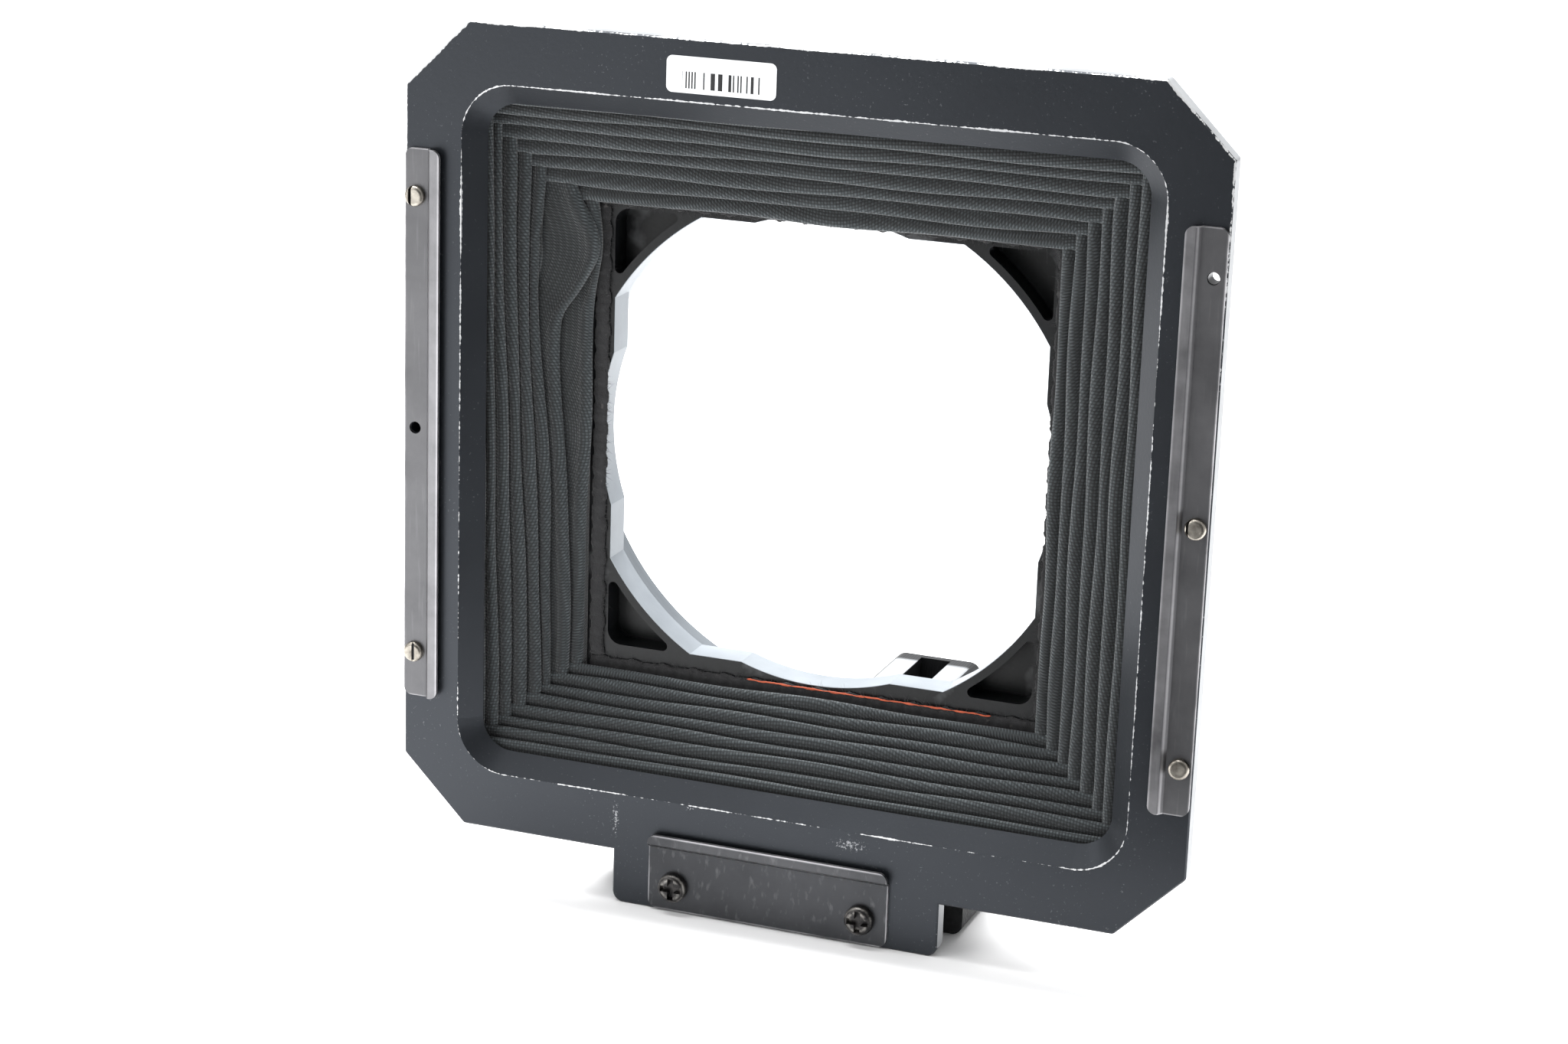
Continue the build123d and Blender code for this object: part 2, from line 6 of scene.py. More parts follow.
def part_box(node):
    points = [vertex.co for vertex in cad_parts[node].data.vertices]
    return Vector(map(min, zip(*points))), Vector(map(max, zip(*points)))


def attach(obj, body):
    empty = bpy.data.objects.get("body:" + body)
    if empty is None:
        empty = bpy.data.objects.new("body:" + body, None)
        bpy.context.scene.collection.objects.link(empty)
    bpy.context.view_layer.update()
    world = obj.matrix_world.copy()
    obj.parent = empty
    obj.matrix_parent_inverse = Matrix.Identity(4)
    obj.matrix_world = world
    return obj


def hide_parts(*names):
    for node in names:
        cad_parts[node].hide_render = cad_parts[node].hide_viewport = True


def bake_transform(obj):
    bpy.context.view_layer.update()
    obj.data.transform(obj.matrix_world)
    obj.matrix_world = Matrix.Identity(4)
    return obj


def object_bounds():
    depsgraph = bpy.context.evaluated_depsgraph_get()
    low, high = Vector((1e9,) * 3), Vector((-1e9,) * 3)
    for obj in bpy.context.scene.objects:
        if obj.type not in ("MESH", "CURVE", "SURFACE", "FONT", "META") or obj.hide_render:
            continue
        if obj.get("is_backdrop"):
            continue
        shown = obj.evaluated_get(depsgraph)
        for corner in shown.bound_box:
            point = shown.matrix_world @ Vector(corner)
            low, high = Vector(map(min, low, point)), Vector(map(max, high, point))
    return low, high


# Bellows mask holder of a large-format camera. The CAD pieces keep their shape and get their finish
# here; the folded cloth, the felt strips and the adhesive line are made here as surfaces.

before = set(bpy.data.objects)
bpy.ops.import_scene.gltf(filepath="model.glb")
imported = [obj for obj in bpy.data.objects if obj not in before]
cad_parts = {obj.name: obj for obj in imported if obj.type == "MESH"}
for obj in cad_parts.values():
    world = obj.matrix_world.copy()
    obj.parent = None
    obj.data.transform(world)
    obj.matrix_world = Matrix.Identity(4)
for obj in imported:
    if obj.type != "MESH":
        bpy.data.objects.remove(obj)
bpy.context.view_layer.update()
MM = 0.001

plate_low, plate_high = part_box("front_plate")
HALF_PLATE = plate_high.x
# Crossing of the optical axis with the front face of the plate, from which lengths in mm are laid out
AXIS = np.array([0.0, plate_low.y, plate_high.z - HALF_PLATE])
FRONT_Y, AXIS_Z = float(AXIS[1]), float(AXIS[2])


def linear(hex_colour):
    """sRGB hex to linear RGBA: each channel through the sRGB transfer curve."""
    c = np.array([int(hex_colour[i : i + 2], 16) for i in (1, 3, 5)]) / 255
    c = np.where(c <= 0.04045, c / 12.92, ((c + 0.055) / 1.055) ** 2.4)
    return (*c.tolist(), 1.0)


def add(tree, kind, inputs=(), out=0, **settings):
    """Adds one shader node with its settings and links. inputs is a row of values, or a dict of them by
    socket; each is a number, a colour or another node's output. Gives one of its outputs."""
    made = tree.nodes.new("ShaderNode" + kind)
    for key, value in settings.items():
        setattr(made, key, value)
    for key, value in inputs.items() if isinstance(inputs, dict) else enumerate(inputs):
        if isinstance(value, bpy.types.NodeSocket):
            tree.links.new(value, made.inputs[key])
        else:
            made.inputs[key].default_value = value
    return made.outputs[out] if made.outputs else made


def new_finish(name):
    """An empty material, its tree, and the place on the piece as a vector and as x, y and z."""
    made = bpy.data.materials.new(name)
    made.use_nodes = True
    tree = made.node_tree
    tree.nodes.clear()
    spot = add(tree, "TexCoord", out=3)
    x, y, z = add(tree, "SeparateXYZ", (spot,)).node.outputs
    return made, tree, spot, x, y, z


def mesh_piece(name, points, faces, smooth=True):
    """A mesh object from an array of points in metres and an array of faces."""
    mesh = bpy.data.meshes.new(name)
    mesh.from_pydata(points.tolist(), [], faces.tolist())
    mesh.polygons.foreach_set("use_smooth", np.full(len(mesh.polygons), smooth))
    mesh.update()
    piece = bpy.data.objects.new(name, mesh)
    bpy.context.scene.collection.objects.link(piece)
    return piece


def from_axis(node):
    """The low and high corner of a CAD node's box, in mm from the axis crossing."""
    return ((np.array(corner) - AXIS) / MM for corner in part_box(node))


# ---- Camera, floor and light ------------------------------------------------------------------------

CAMERA_PLACE = (0.2845, -0.8512, 0.3505)
YAW, PITCH, ROLL = np.radians([20.05, 15.91, 1.97])
back = Vector((np.sin(YAW) * np.cos(PITCH), -np.cos(YAW) * np.cos(PITCH), np.sin(PITCH)))
level = Vector((np.cos(YAW), np.sin(YAW), 0))
over = back.cross(level)
right = np.cos(ROLL) * level + np.sin(ROLL) * over
up = -np.sin(ROLL) * level + np.cos(ROLL) * over
camera = bpy.data.objects.new("camera", bpy.data.cameras.new("camera"))
camera.matrix_world = Matrix.Translation(CAMERA_PLACE) @ Matrix((right, up, back)).transposed().to_4x4()
camera.data.lens = 77.33
camera.data.sensor_width = 36
camera.data.clip_end = 50
bpy.context.scene.collection.objects.link(camera)
bpy.context.scene.camera = camera
bpy.context.scene.view_settings.view_transform = "Standard"

world = bpy.data.worlds.new("studio")
world.use_nodes = True
world.node_tree.nodes["Background"].inputs["Color"].default_value = linear("#FFFFFF")
world.node_tree.nodes["Background"].inputs["Strength"].default_value = 0.7
bpy.context.scene.world = world


def soft_light(name, place, aim, size, power):
    """A square soft box at place that faces aim."""
    lamp = bpy.data.lights.new(name, "AREA")
    lamp.size = size
    lamp.energy = power
    box = bpy.data.objects.new(name, lamp)
    turn = (Vector(aim) - Vector(place)).to_track_quat("-Z", "Y").to_matrix().to_4x4()
    box.matrix_world = Matrix.Translation(place) @ turn
    bpy.context.scene.collection.objects.link(box)


soft_light("top_light", (-0.1, 0.4, 1.5), (0, 0, 0.1), 1.0, 18)
soft_light("left_light", (-1.0, -0.9, 0.8), (0, 0, 0.12), 0.7, 5.5)
soft_light("floor_light", (-0.6, 0.6, 2.3), (0.1, 0, 0), 2.0, 150)


# Matt white paper, barely mottled.
def white_paper():
    made, tree, spot, *_ = new_finish("white_paper_sweep")
    grain = add(tree, "TexNoise", {"Vector": spot, "Scale": 0.0375 / MM, "Detail": 2.0})
    tone = add(tree, "Mix", {0: grain, 6: linear("#F4F4F5"), 7: linear("#FAFAFA")}, 2, data_type="RGBA")
    add(tree, "OutputMaterial", (add(tree, "BsdfPrincipled", {"Base Color": tone, "Roughness": 0.8}),))
    return made


# Dead black card.
def black_card():
    made, tree, *_ = new_finish("black_card_flag")
    card = add(tree, "BsdfPrincipled", {"Base Color": linear("#2A2B2D"), "Roughness": 0.9})
    add(tree, "OutputMaterial", (card,))
    return made


REACH = 4.0
corners = np.array([[-REACH, -REACH, 0], [REACH, -REACH, 0], [REACH, REACH, 0], [-REACH, REACH, 0]])
floor = mesh_piece("floor", corners, np.array([[0, 1, 2, 3]]), smooth=False)
floor.data.materials.append(white_paper())
floor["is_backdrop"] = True

# A card on the floor and standing before the object, met by reflections only: it shades the right and
# the top of the gloss
corners = np.array([[0.04, -0.15, 0.004], [-0.20, -0.75, 0.004], [-0.50, -1.7, 0.004], [2.4, -1.7, 0.004],
                    [2.4, -0.15, 0.004], [2.4, -1.7, 1.7], [-0.50, -1.7, 1.7]])
card = mesh_piece("flag_card", corners, np.array([[0, 1, 2, 4], [2, 6, 5, 3]]), smooth=False)
card.data.materials.append(black_card())
card.visible_camera = card.visible_diffuse = card.visible_shadow = False
card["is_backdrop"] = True

# ---- Finishes ---------------------------------------------------------------------------------------
# The scale of a noise is given as its features in a millimetre.

CORNER_CUT = 18 * MM
TAB_SHIFT, TAB_HALF_WIDE, TAB_HALF_TALL = 1.1 * MM, 46.2 * MM, 14.9 * MM
WINDOW_STRAIGHT, WINDOW_ROUND = 80 * MM, 14 * MM
SLOTTED_HEAD, SLOT_DEPTH = 2.75 * MM, 0.85 * MM
CROSS_HEAD, CROSS_RIM = 4.0 * MM, 0.8 * MM


def near(tree, here, place, reach):
    """1 where here is at place, falling to 0 at the reach from it: 1 - |here - place| / reach."""
    off = add(tree, "Math", (here, place), operation="SUBTRACT")
    off = add(tree, "Math", (off,), operation="ABSOLUTE")
    return add(tree, "Math", (off, -1 / reach, 1.0), operation="MULTIPLY_ADD", use_clamp=True)


def flat_length(tree, a, b):
    """Length of the vector with the two parts a and b."""
    pair = add(tree, "CombineXYZ", (a, b, 0.0))
    return add(tree, "VectorMath", (pair,), 1, operation="LENGTH")


def layered(tree, ground, *layers):
    """A ground colour with others laid over it in turn, each as strongly as its own share."""
    tone = linear(ground)
    for share, over in layers:
        over = over if isinstance(over, bpy.types.NodeSocket) else linear(over)
        tone = add(tree, "Mix", {0: share, 6: tone, 7: over}, 2, data_type="RGBA")
    return tone


# Satin stove enamel on aluminium plate, sprayed: a fine pebble, dust in the matt, and bright metal
# where the edges have been knocked.
def enamel_plate():
    made, tree, spot, x, y, z = new_finish("satin_black_enamel")
    up = add(tree, "Math", (z, AXIS_Z), operation="SUBTRACT")
    wide, tall = (add(tree, "Math", (way,), operation="ABSOLUTE") for way in (x, up))
    # distance to the outline, less than 0 inside: a square with cut corners, and the tab below it
    outline = add(tree, "Math", (wide, tall), operation="MAXIMUM")
    outline = add(tree, "Math", (outline, HALF_PLATE), operation="SUBTRACT")
    cut = add(tree, "Math", (wide, tall), operation="ADD")
    cut = add(tree, "Math", (cut, 2 * HALF_PLATE - CORNER_CUT), operation="SUBTRACT")
    cut = add(tree, "Math", (cut, 0.5**0.5), operation="MULTIPLY")
    outline = add(tree, "Math", (outline, cut), operation="MAXIMUM")
    tab = []
    for way, middle, half in ((x, -TAB_SHIFT, TAB_HALF_WIDE), (z, TAB_HALF_TALL, TAB_HALF_TALL)):
        off = add(tree, "Math", (way, middle), operation="SUBTRACT")
        off = add(tree, "Math", (off,), operation="ABSOLUTE")
        tab.append(add(tree, "Math", (off, half), operation="SUBTRACT"))
    outline = add(tree, "Math", (outline, add(tree, "Math", tab, operation="MAXIMUM")), operation="MINIMUM")
    outline = add(tree, "Math", (outline,), operation="ABSOLUTE")
    # distance to the front edge of the window, a square with round corners
    past = []
    for way in (wide, tall):
        off = add(tree, "Math", (way, WINDOW_STRAIGHT), operation="SUBTRACT")
        past.append(add(tree, "Math", (off, 0.0), operation="MAXIMUM"))
    window = add(tree, "Math", (flat_length(tree, *past), WINDOW_ROUND), operation="SUBTRACT")
    window = add(tree, "Math", (window,), operation="ABSOLUTE")
    depth = add(tree, "Math", (y, FRONT_Y), operation="SUBTRACT")
    edge = flat_length(tree, add(tree, "Math", (outline, window), operation="MINIMUM"), depth)
    # chips: the bare band along an edge is as wide as two sizes of noise allow, widest high up and outside
    slow = add(tree, "TexNoise", {"Vector": spot, "Scale": 0.055 / MM, "Detail": 2.0})
    quick = add(tree, "TexNoise", {"Vector": spot, "Scale": 0.95 / MM, "Detail": 3.0})
    high = add(tree, "Math", (up, 0.009 / MM, -0.25), operation="MULTIPLY_ADD", use_clamp=True)
    outside = add(tree, "Math", (outline, 4 * MM), operation="LESS_THAN")
    outside = add(tree, "Math", (outside, 0.55, 0.45), operation="MULTIPLY_ADD")
    high = add(tree, "Math", (high, outside), operation="MULTIPLY")
    amount = add(tree, "Math", (high, 1.1, 0.16 - 0.47 * 2.4 - 0.5 * 2.0), operation="MULTIPLY_ADD")
    amount = add(tree, "Math", (slow, 2.4, amount), operation="MULTIPLY_ADD")
    amount = add(tree, "Math", (quick, 2.0, amount), operation="MULTIPLY_ADD")
    band = add(tree, "Math", (amount, 0.44 * MM), operation="MULTIPLY")
    chip = add(tree, "Math", (band, edge), operation="SUBTRACT")
    chip = add(tree, "Math", (chip, 10 / MM), operation="MULTIPLY", use_clamp=True)
    # scuffs: a smear by the clip, a crack at the root of the tab and a knock on the window's edge
    scuffed = 0.0
    for place_x, place_z, half_x, half_z in ((20.0, -97.5, 6.5, 2.2), (-46.8, -101.0, 1.3, 6.5),
                                             (-25.5, -94.6, 1.6, 1.2)):
        away = [add(tree, "Math", (way, 1 / (half * MM), -place / half), operation="MULTIPLY_ADD")
                for way, place, half in ((x, place_x, half_x), (up, place_z, half_z))]
        within = near(tree, flat_length(tree, *away), 0.0, 1.0)
        scuffed = add(tree, "Math", (within, scuffed), operation="MAXIMUM")
    scratch = add(tree, "TexNoise", {"Vector": spot, "Scale": 1.3 / MM, "Detail": 4.0, "Roughness": 0.65})
    scuff = add(tree, "Math", (scuffed, 0.16, scratch), operation="MULTIPLY_ADD")
    scuff = add(tree, "Math", (scuff, 14.0, -0.62 * 14.0), operation="MULTIPLY_ADD", use_clamp=True)
    ease = add(tree, "Math", (scuffed, 3.0), operation="MULTIPLY", use_clamp=True)
    ease = add(tree, "Math", (ease, 0.8), operation="MULTIPLY")
    scuff = add(tree, "Math", (scuff, ease), operation="MULTIPLY")
    # side faces are rubbed to a pale grey
    on_side = add(tree, "Math", (outline, -8.0, depth), operation="MULTIPLY_ADD")
    on_side = add(tree, "Math", (on_side, 0.45 * MM), operation="GREATER_THAN")
    rubbed_and_sheen = add(tree, "Math", (slow, 0.8, 0.35), operation="MULTIPLY_ADD", use_clamp=True)
    rubbed_and_sheen = add(tree, "Math", (on_side, rubbed_and_sheen), operation="MULTIPLY")
    # dust and pinholes, a millimetre and less
    speck = add(tree, "TexNoise", {"Vector": spot, "Scale": 1.5 / MM, "Detail": 1.0})
    patch = add(tree, "TexNoise", {"Vector": spot, "Scale": 0.03 / MM, "Detail": 3.0})
    dust = add(tree, "Math", (speck, 12.0, -0.70 * 12.0), operation="MULTIPLY_ADD", use_clamp=True)
    dusty = add(tree, "Math", (patch, 3.0, -1.1), operation="MULTIPLY_ADD", use_clamp=True)
    dusty = add(tree, "Math", (dusty, 0.4), operation="MULTIPLY")
    dust = add(tree, "Math", (dust, dusty), operation="MULTIPLY")
    pebble = add(tree, "TexNoise", {"Vector": spot, "Scale": 1.1 / MM, "Detail": 2.0})
    height = add(tree, "Math", (pebble, 0.35), operation="MULTIPLY")
    height = add(tree, "Math", (height, chip), operation="SUBTRACT")
    enamel = add(tree, "BsdfPrincipled", {
        "Base Color": layered(tree, "#0C0D10", (patch, "#16191D"), (dust, "#7A7B7D"), (scuff, "#A2A3A5"),
                              (rubbed_and_sheen, "#A3A5A7"), (chip, "#D2D3D4")),
        "Roughness": add(tree, "Math", (patch, 0.14, 0.31), operation="MULTIPLY_ADD"),
        "Metallic": add(tree, "Math", (chip, 0.7), operation="MULTIPLY"),
        "Normal": add(tree, "Bump", {"Height": height, "Distance": 0.06 * MM}),
        "Specular IOR Level": 0.62, "Specular Tint": linear("#E4EBF6")})
    add(tree, "OutputMaterial", (enamel,))
    return made


# Black paint, sprayed on a machined frame or a casting: a grain, and wear to grey in patches.
def black_paint(name, dark, pale, roughness, grain_size, depth, wear, bare_opening=False):
    made, tree, spot, x, y, z = new_finish(name)
    patch = add(tree, "TexNoise", {"Vector": spot, "Scale": 0.06 / MM, "Detail": 4.0})
    grain = add(tree, "TexNoise", {"Vector": spot, "Scale": 1 / (grain_size * MM), "Detail": 3.0})
    wear_and_shade = add(tree, "Math", (patch, wear, -0.62 * wear), operation="MULTIPLY_ADD", use_clamp=True)
    paint = layered(tree, dark, (grain, pale), (wear_and_shade, "#6E7072"))
    if bare_opening:
        # the wall of the opening is bare metal: a square of 120 mm with arcs of 70, eased to 63.6 mm
        up = add(tree, "Math", (z, AXIS_Z), operation="SUBTRACT")
        sides = [add(tree, "Math", (way,), operation="ABSOLUTE") for way in (x, up)]
        square = add(tree, "Math", sides, operation="MAXIMUM")
        square = add(tree, "Math", (square, 60 * MM), operation="SUBTRACT")
        reach = flat_length(tree, x, up)
        arcs, eased = (add(tree, "Math", (reach, r * MM), operation="SUBTRACT") for r in (70, 63.6))
        wall = add(tree, "Math", (square, arcs), operation="MAXIMUM")
        wall = add(tree, "Math", (wall, eased), operation="MINIMUM")
        wall = add(tree, "Math", (wall,), operation="ABSOLUTE")
        bare = add(tree, "Math", (wall, 0.14 * MM), operation="LESS_THAN")
        metal = layered(tree, "#787E84", (patch, "#A6ACB2"))
        paint = add(tree, "Mix", {0: bare, 6: paint, 7: metal}, 2, data_type="RGBA")
    coat = add(tree, "BsdfPrincipled", {
        "Base Color": paint,
        "Roughness": add(tree, "Math", (patch, 0.15, roughness - 0.07), operation="MULTIPLY_ADD"),
        "Normal": add(tree, "Bump", {"Height": grain, "Distance": depth * MM}),
        "Specular IOR Level": 0.32})
    add(tree, "OutputMaterial", (coat,))
    return made


# Blackened sheet steel, folded: grey, drawn in one direction, with the edge of the lip rubbed bright by masks
# that slide under it and the cut edges rubbed in places; the fold line and the whole lip are also painted
# paler in patches, a painted highlight where the bend and the raised lip catch the light.
def blackened_sheet(name, run_axis, lip_place, lip_reach, lip_highlight_share, rims, drag, dark, pale):
    made, tree, spot, *xyz = new_finish(name)
    xyz[run_axis] = lie = add(tree, "Math", (xyz[run_axis],), operation="ABSOLUTE")
    fold_place = lip_place + 3.0 * MM * (1 if run_axis == 0 else -1)
    patch = add(tree, "TexNoise", {"Vector": spot, "Scale": 0.045 / MM, "Detail": 5.0, "Roughness": 0.65})
    drawn = add(tree, "VectorMath", (spot, drag), operation="MULTIPLY")
    fine = add(tree, "TexNoise", {"Vector": drawn, "Scale": 0.9 / MM, "Detail": 3.0})
    # painted highlight: the fold line of the lip is painted paler at half strength, where the bend catches
    # the light
    fold_highlight = add(tree, "Math", (near(tree, lie, fold_place, 0.35 * MM), 0.5), operation="MULTIPLY")
    rub_and_highlight = add(tree, "Math", (near(tree, lie, lip_place, lip_reach), fold_highlight), operation="MAXIMUM")
    torn = add(tree, "Math", (patch, 2.2, -0.3), operation="MULTIPLY_ADD", use_clamp=True)
    rub_and_highlight = add(tree, "Math", (rub_and_highlight, torn), operation="MULTIPLY", use_clamp=True)
    # painted highlight: the whole lip is painted paler in clouds, at the share given, where the raised lip
    # catches the light
    lip_highlight = add(tree, "Math", (near(tree, lie, lip_place, 2.5 * MM), 0.0), operation="GREATER_THAN")
    lip_highlight = add(tree, "Math", (lip_highlight, lip_highlight_share), operation="MULTIPLY")
    cloudy = add(tree, "Math", (patch, 1.4, -0.25), operation="MULTIPLY_ADD", use_clamp=True)
    lip_highlight = add(tree, "Math", (lip_highlight, cloudy), operation="MULTIPLY")
    rub_and_highlight = add(tree, "Math", (rub_and_highlight, lip_highlight), operation="MAXIMUM")
    in_places = add(tree, "Math", (patch, 3.2, -1.0), operation="MULTIPLY_ADD", use_clamp=True)
    for way, place in rims:
        rim = near(tree, xyz[way], place, 0.4 * MM)
        rim = add(tree, "Math", (rim, in_places), operation="MULTIPLY")
        rub_and_highlight = add(tree, "Math", (rub_and_highlight, rim), operation="MAXIMUM")
    scratch = add(tree, "Math", (fine, 6.0, -0.58 * 6.0), operation="MULTIPLY_ADD", use_clamp=True)
    scratch = add(tree, "Math", (scratch, 0.22), operation="MULTIPLY")
    steel = add(tree, "BsdfPrincipled", {
        "Base Color": layered(tree, dark, (patch, pale), (scratch, "#8A8A8C"), (rub_and_highlight, "#C2C1C4")),
        "Metallic": 0.8,
        "Roughness": add(tree, "Math", (patch, 0.25, 0.26), operation="MULTIPLY_ADD"),
        "Normal": add(tree, "Bump", {"Height": fine, "Distance": 0.02 * MM})})
    add(tree, "OutputMaterial", (steel,))
    return made


# Turned steel, nickel-plated, blackened or plain: it shines where it has been handled. Cross-recess heads are
# rubbed at the mouth of the recess and at the rim; the slots and a ring round the foot of each slotted head
# are painted near black, a painted shade in the recesses.
def turned_screw(name, dark, pale, roughness, metal, cross_heads=(), slotted=None):
    made, tree, spot, x, y, z = new_finish(name)
    patch = add(tree, "TexNoise", {"Vector": spot, "Scale": 0.35 / MM, "Detail": 4.0, "Roughness": 0.6})
    fine = add(tree, "TexNoise", {"Vector": spot, "Scale": 2.5 / MM, "Detail": 2.0})
    cloudy = add(tree, "Math", (patch, 2.2, -0.6), operation="MULTIPLY_ADD", use_clamp=True)
    wear_and_shade = add(tree, "Math", (patch, 4.0, -1.6), operation="MULTIPLY_ADD", use_clamp=True)
    layers = [(cloudy, pale)]
    for centre in cross_heads:
        away = add(tree, "VectorMath", (spot, centre), 1, operation="DISTANCE")
        for ring, width in ((2.7, 0.55), (3.75, 0.3)):
            band = near(tree, away, ring * MM, width * MM)
            layers.append((add(tree, "Math", (band, wear_and_shade), operation="MULTIPLY"), "#A09D98"))
    if slotted:
        # the slots lie deeper than the round of a head does this near its middle; the heads stand at
        # equal steps on both sides, so one folded x and one wrapped z serve them all
        low, high = slotted
        middle, step = (low.z + high.z) / 2, (high.z - low.z) / 2 - SLOTTED_HEAD
        sideways = add(tree, "Math", (x,), operation="ABSOLUTE")
        sideways = add(tree, "Math", (sideways, high.x - SLOTTED_HEAD), operation="SUBTRACT")
        along = add(tree, "Math", (z, middle + step / 2, middle - step / 2), operation="WRAP")
        along = add(tree, "Math", (along, middle), operation="SUBTRACT")
        inside = add(tree, "Math", (flat_length(tree, sideways, along), 2.3 * MM), operation="LESS_THAN")
        # painted shade: a band just behind the face of each slotted head, in the slot and round the head's
        # foot, is painted near black and made less metallic
        deep = add(tree, "Math", (y, low.y + SLOT_DEPTH - 0.25 * MM, 0.4 * MM), operation="COMPARE")
        grime_and_shade = add(tree, "Math", (deep, inside), operation="MULTIPLY")
        layers.append((grime_and_shade, "#141311"))
        metal = add(tree, "Math", (grime_and_shade, -metal, metal), operation="MULTIPLY_ADD")
    steel = add(tree, "BsdfPrincipled", {
        "Base Color": layered(tree, dark, *layers),
        "Metallic": metal,
        "Roughness": add(tree, "Math", (patch, 0.2, roughness - 0.1), operation="MULTIPLY_ADD"),
        "Normal": add(tree, "Bump", {"Height": fine, "Distance": 0.02 * MM})})
    add(tree, "OutputMaterial", (steel,))
    return made


# Anodised aluminium, turned or milled: an even sheen with fine tool lines across one axis.
def anodised(name, tool_axis, line_pitch, dark, pale, roughness, metal=0.35, top_sheen=None):
    made, tree, spot, *xyz = new_finish(name)
    line = add(tree, "Math", (xyz[tool_axis], 2 * np.pi / (line_pitch * MM)), operation="MULTIPLY")
    line = add(tree, "Math", (line,), operation="SINE")
    patch = add(tree, "TexNoise", {"Vector": spot, "Scale": 0.04 / MM, "Detail": 4.0})
    layers = [(patch, pale)]
    if top_sheen:
        # the upper faces are painted pale grey short of the end, a painted reflection of the bright
        # surroundings on the tops
        top_z, end_y = top_sheen
        rubbed_and_sheen = add(tree, "Math", (xyz[2], top_z - 0.3 * MM), operation="GREATER_THAN")
        short = add(tree, "Math", (xyz[1], -0.5 / MM, end_y * 0.5 / MM), operation="MULTIPLY_ADD",
                    use_clamp=True)
        torn = add(tree, "Math", (patch, 4.0, -0.9), operation="MULTIPLY_ADD", use_clamp=True)
        for part in (short, torn):
            rubbed_and_sheen = add(tree, "Math", (rubbed_and_sheen, part), operation="MULTIPLY")
        layers.append((rubbed_and_sheen, "#A2A5A8"))
    aluminium = add(tree, "BsdfPrincipled", {
        "Base Color": layered(tree, dark, *layers),
        "Metallic": metal,
        "Roughness": add(tree, "Math", (patch, 0.15, roughness - 0.07), operation="MULTIPLY_ADD"),
        "Normal": add(tree, "Bump", {"Height": line, "Distance": 0.02 * MM})})
    add(tree, "OutputMaterial", (aluminium,))
    return made


# White self-adhesive film with a printed band of uneven plain bars, which stand for no code.
def label_film():
    made, tree, spot, x, y, z = new_finish("white_label_film")
    low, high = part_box("inventory_label")
    shares = []
    for way, start, stop in ((x, low.x, high.x), (z, low.z, high.z)):
        share = add(tree, "Math", (way, start), operation="SUBTRACT")
        shares.append(add(tree, "Math", (share, stop - start), operation="DIVIDE"))
    across, upward = shares
    cell = add(tree, "Math", (across, 74.0), operation="MULTIPLY")
    cell = add(tree, "Math", (cell,), operation="FLOOR")
    dice = add(tree, "TexWhiteNoise", {"W": cell}, noise_dimensions="1D")
    ink = add(tree, "Math", (dice, 0.48), operation="GREATER_THAN")
    for way, middle, half in ((across, 0.5, 0.355), (upward, 0.36, 0.23)):
        inside = add(tree, "Math", (way, middle, half), operation="COMPARE")
        ink = add(tree, "Math", (ink, inside), operation="MULTIPLY")
    grime_and_shade = add(tree, "TexNoise", {"Vector": spot, "Scale": 0.22 / MM, "Detail": 4.0})
    grime_and_shade = add(tree, "Math", (grime_and_shade, 0.25), operation="MULTIPLY")
    film = add(tree, "BsdfPrincipled", {
        "Base Color": layered(tree, "#ECEEF0", (grime_and_shade, "#B9BDC2"), (ink, "#1A1A1C")), "Roughness": 0.45})
    add(tree, "OutputMaterial", (film,))
    return made


# Matt solids: fibre board, moulded plastic, nylon and adhesive, told apart by colour, grain and gloss.
def matt_solid(name, dark, pale, roughness, grain_size, depth):
    made, tree, spot, *_ = new_finish(name)
    grain = add(tree, "TexNoise", {"Vector": spot, "Scale": 1 / (grain_size * MM), "Detail": 4.0})
    solid = add(tree, "BsdfPrincipled", {
        "Base Color": layered(tree, dark, (grain, pale)), "Roughness": roughness,
        "Normal": add(tree, "Bump", {"Height": grain, "Distance": depth * MM})})
    add(tree, "OutputMaterial", (solid,))
    return made


# Pressed wool felt: no gloss, matted fibres with lint in them.
def pressed_felt():
    made, tree, spot, *_ = new_finish("pressed_black_felt")
    matting = add(tree, "TexNoise", {"Vector": spot, "Scale": 0.9 / MM, "Detail": 5.0, "Roughness": 0.7})
    lint = add(tree, "TexNoise", {"Vector": spot, "Scale": 0.42 / MM, "Detail": 2.0})
    lint = add(tree, "Math", (lint, 5.0, -0.66 * 5.0), operation="MULTIPLY_ADD", use_clamp=True)
    wool = add(tree, "BsdfPrincipled", {
        "Base Color": layered(tree, "#0B0B0C", (matting, "#2B2B2D"), (lint, "#5A5654")),
        "Roughness": 0.95, "Sheen Weight": 0.15, "Sheen Roughness": 0.6,
        "Normal": add(tree, "Bump", {"Height": matting, "Distance": 0.35 * MM})})
    add(tree, "OutputMaterial", (wool,))
    return made
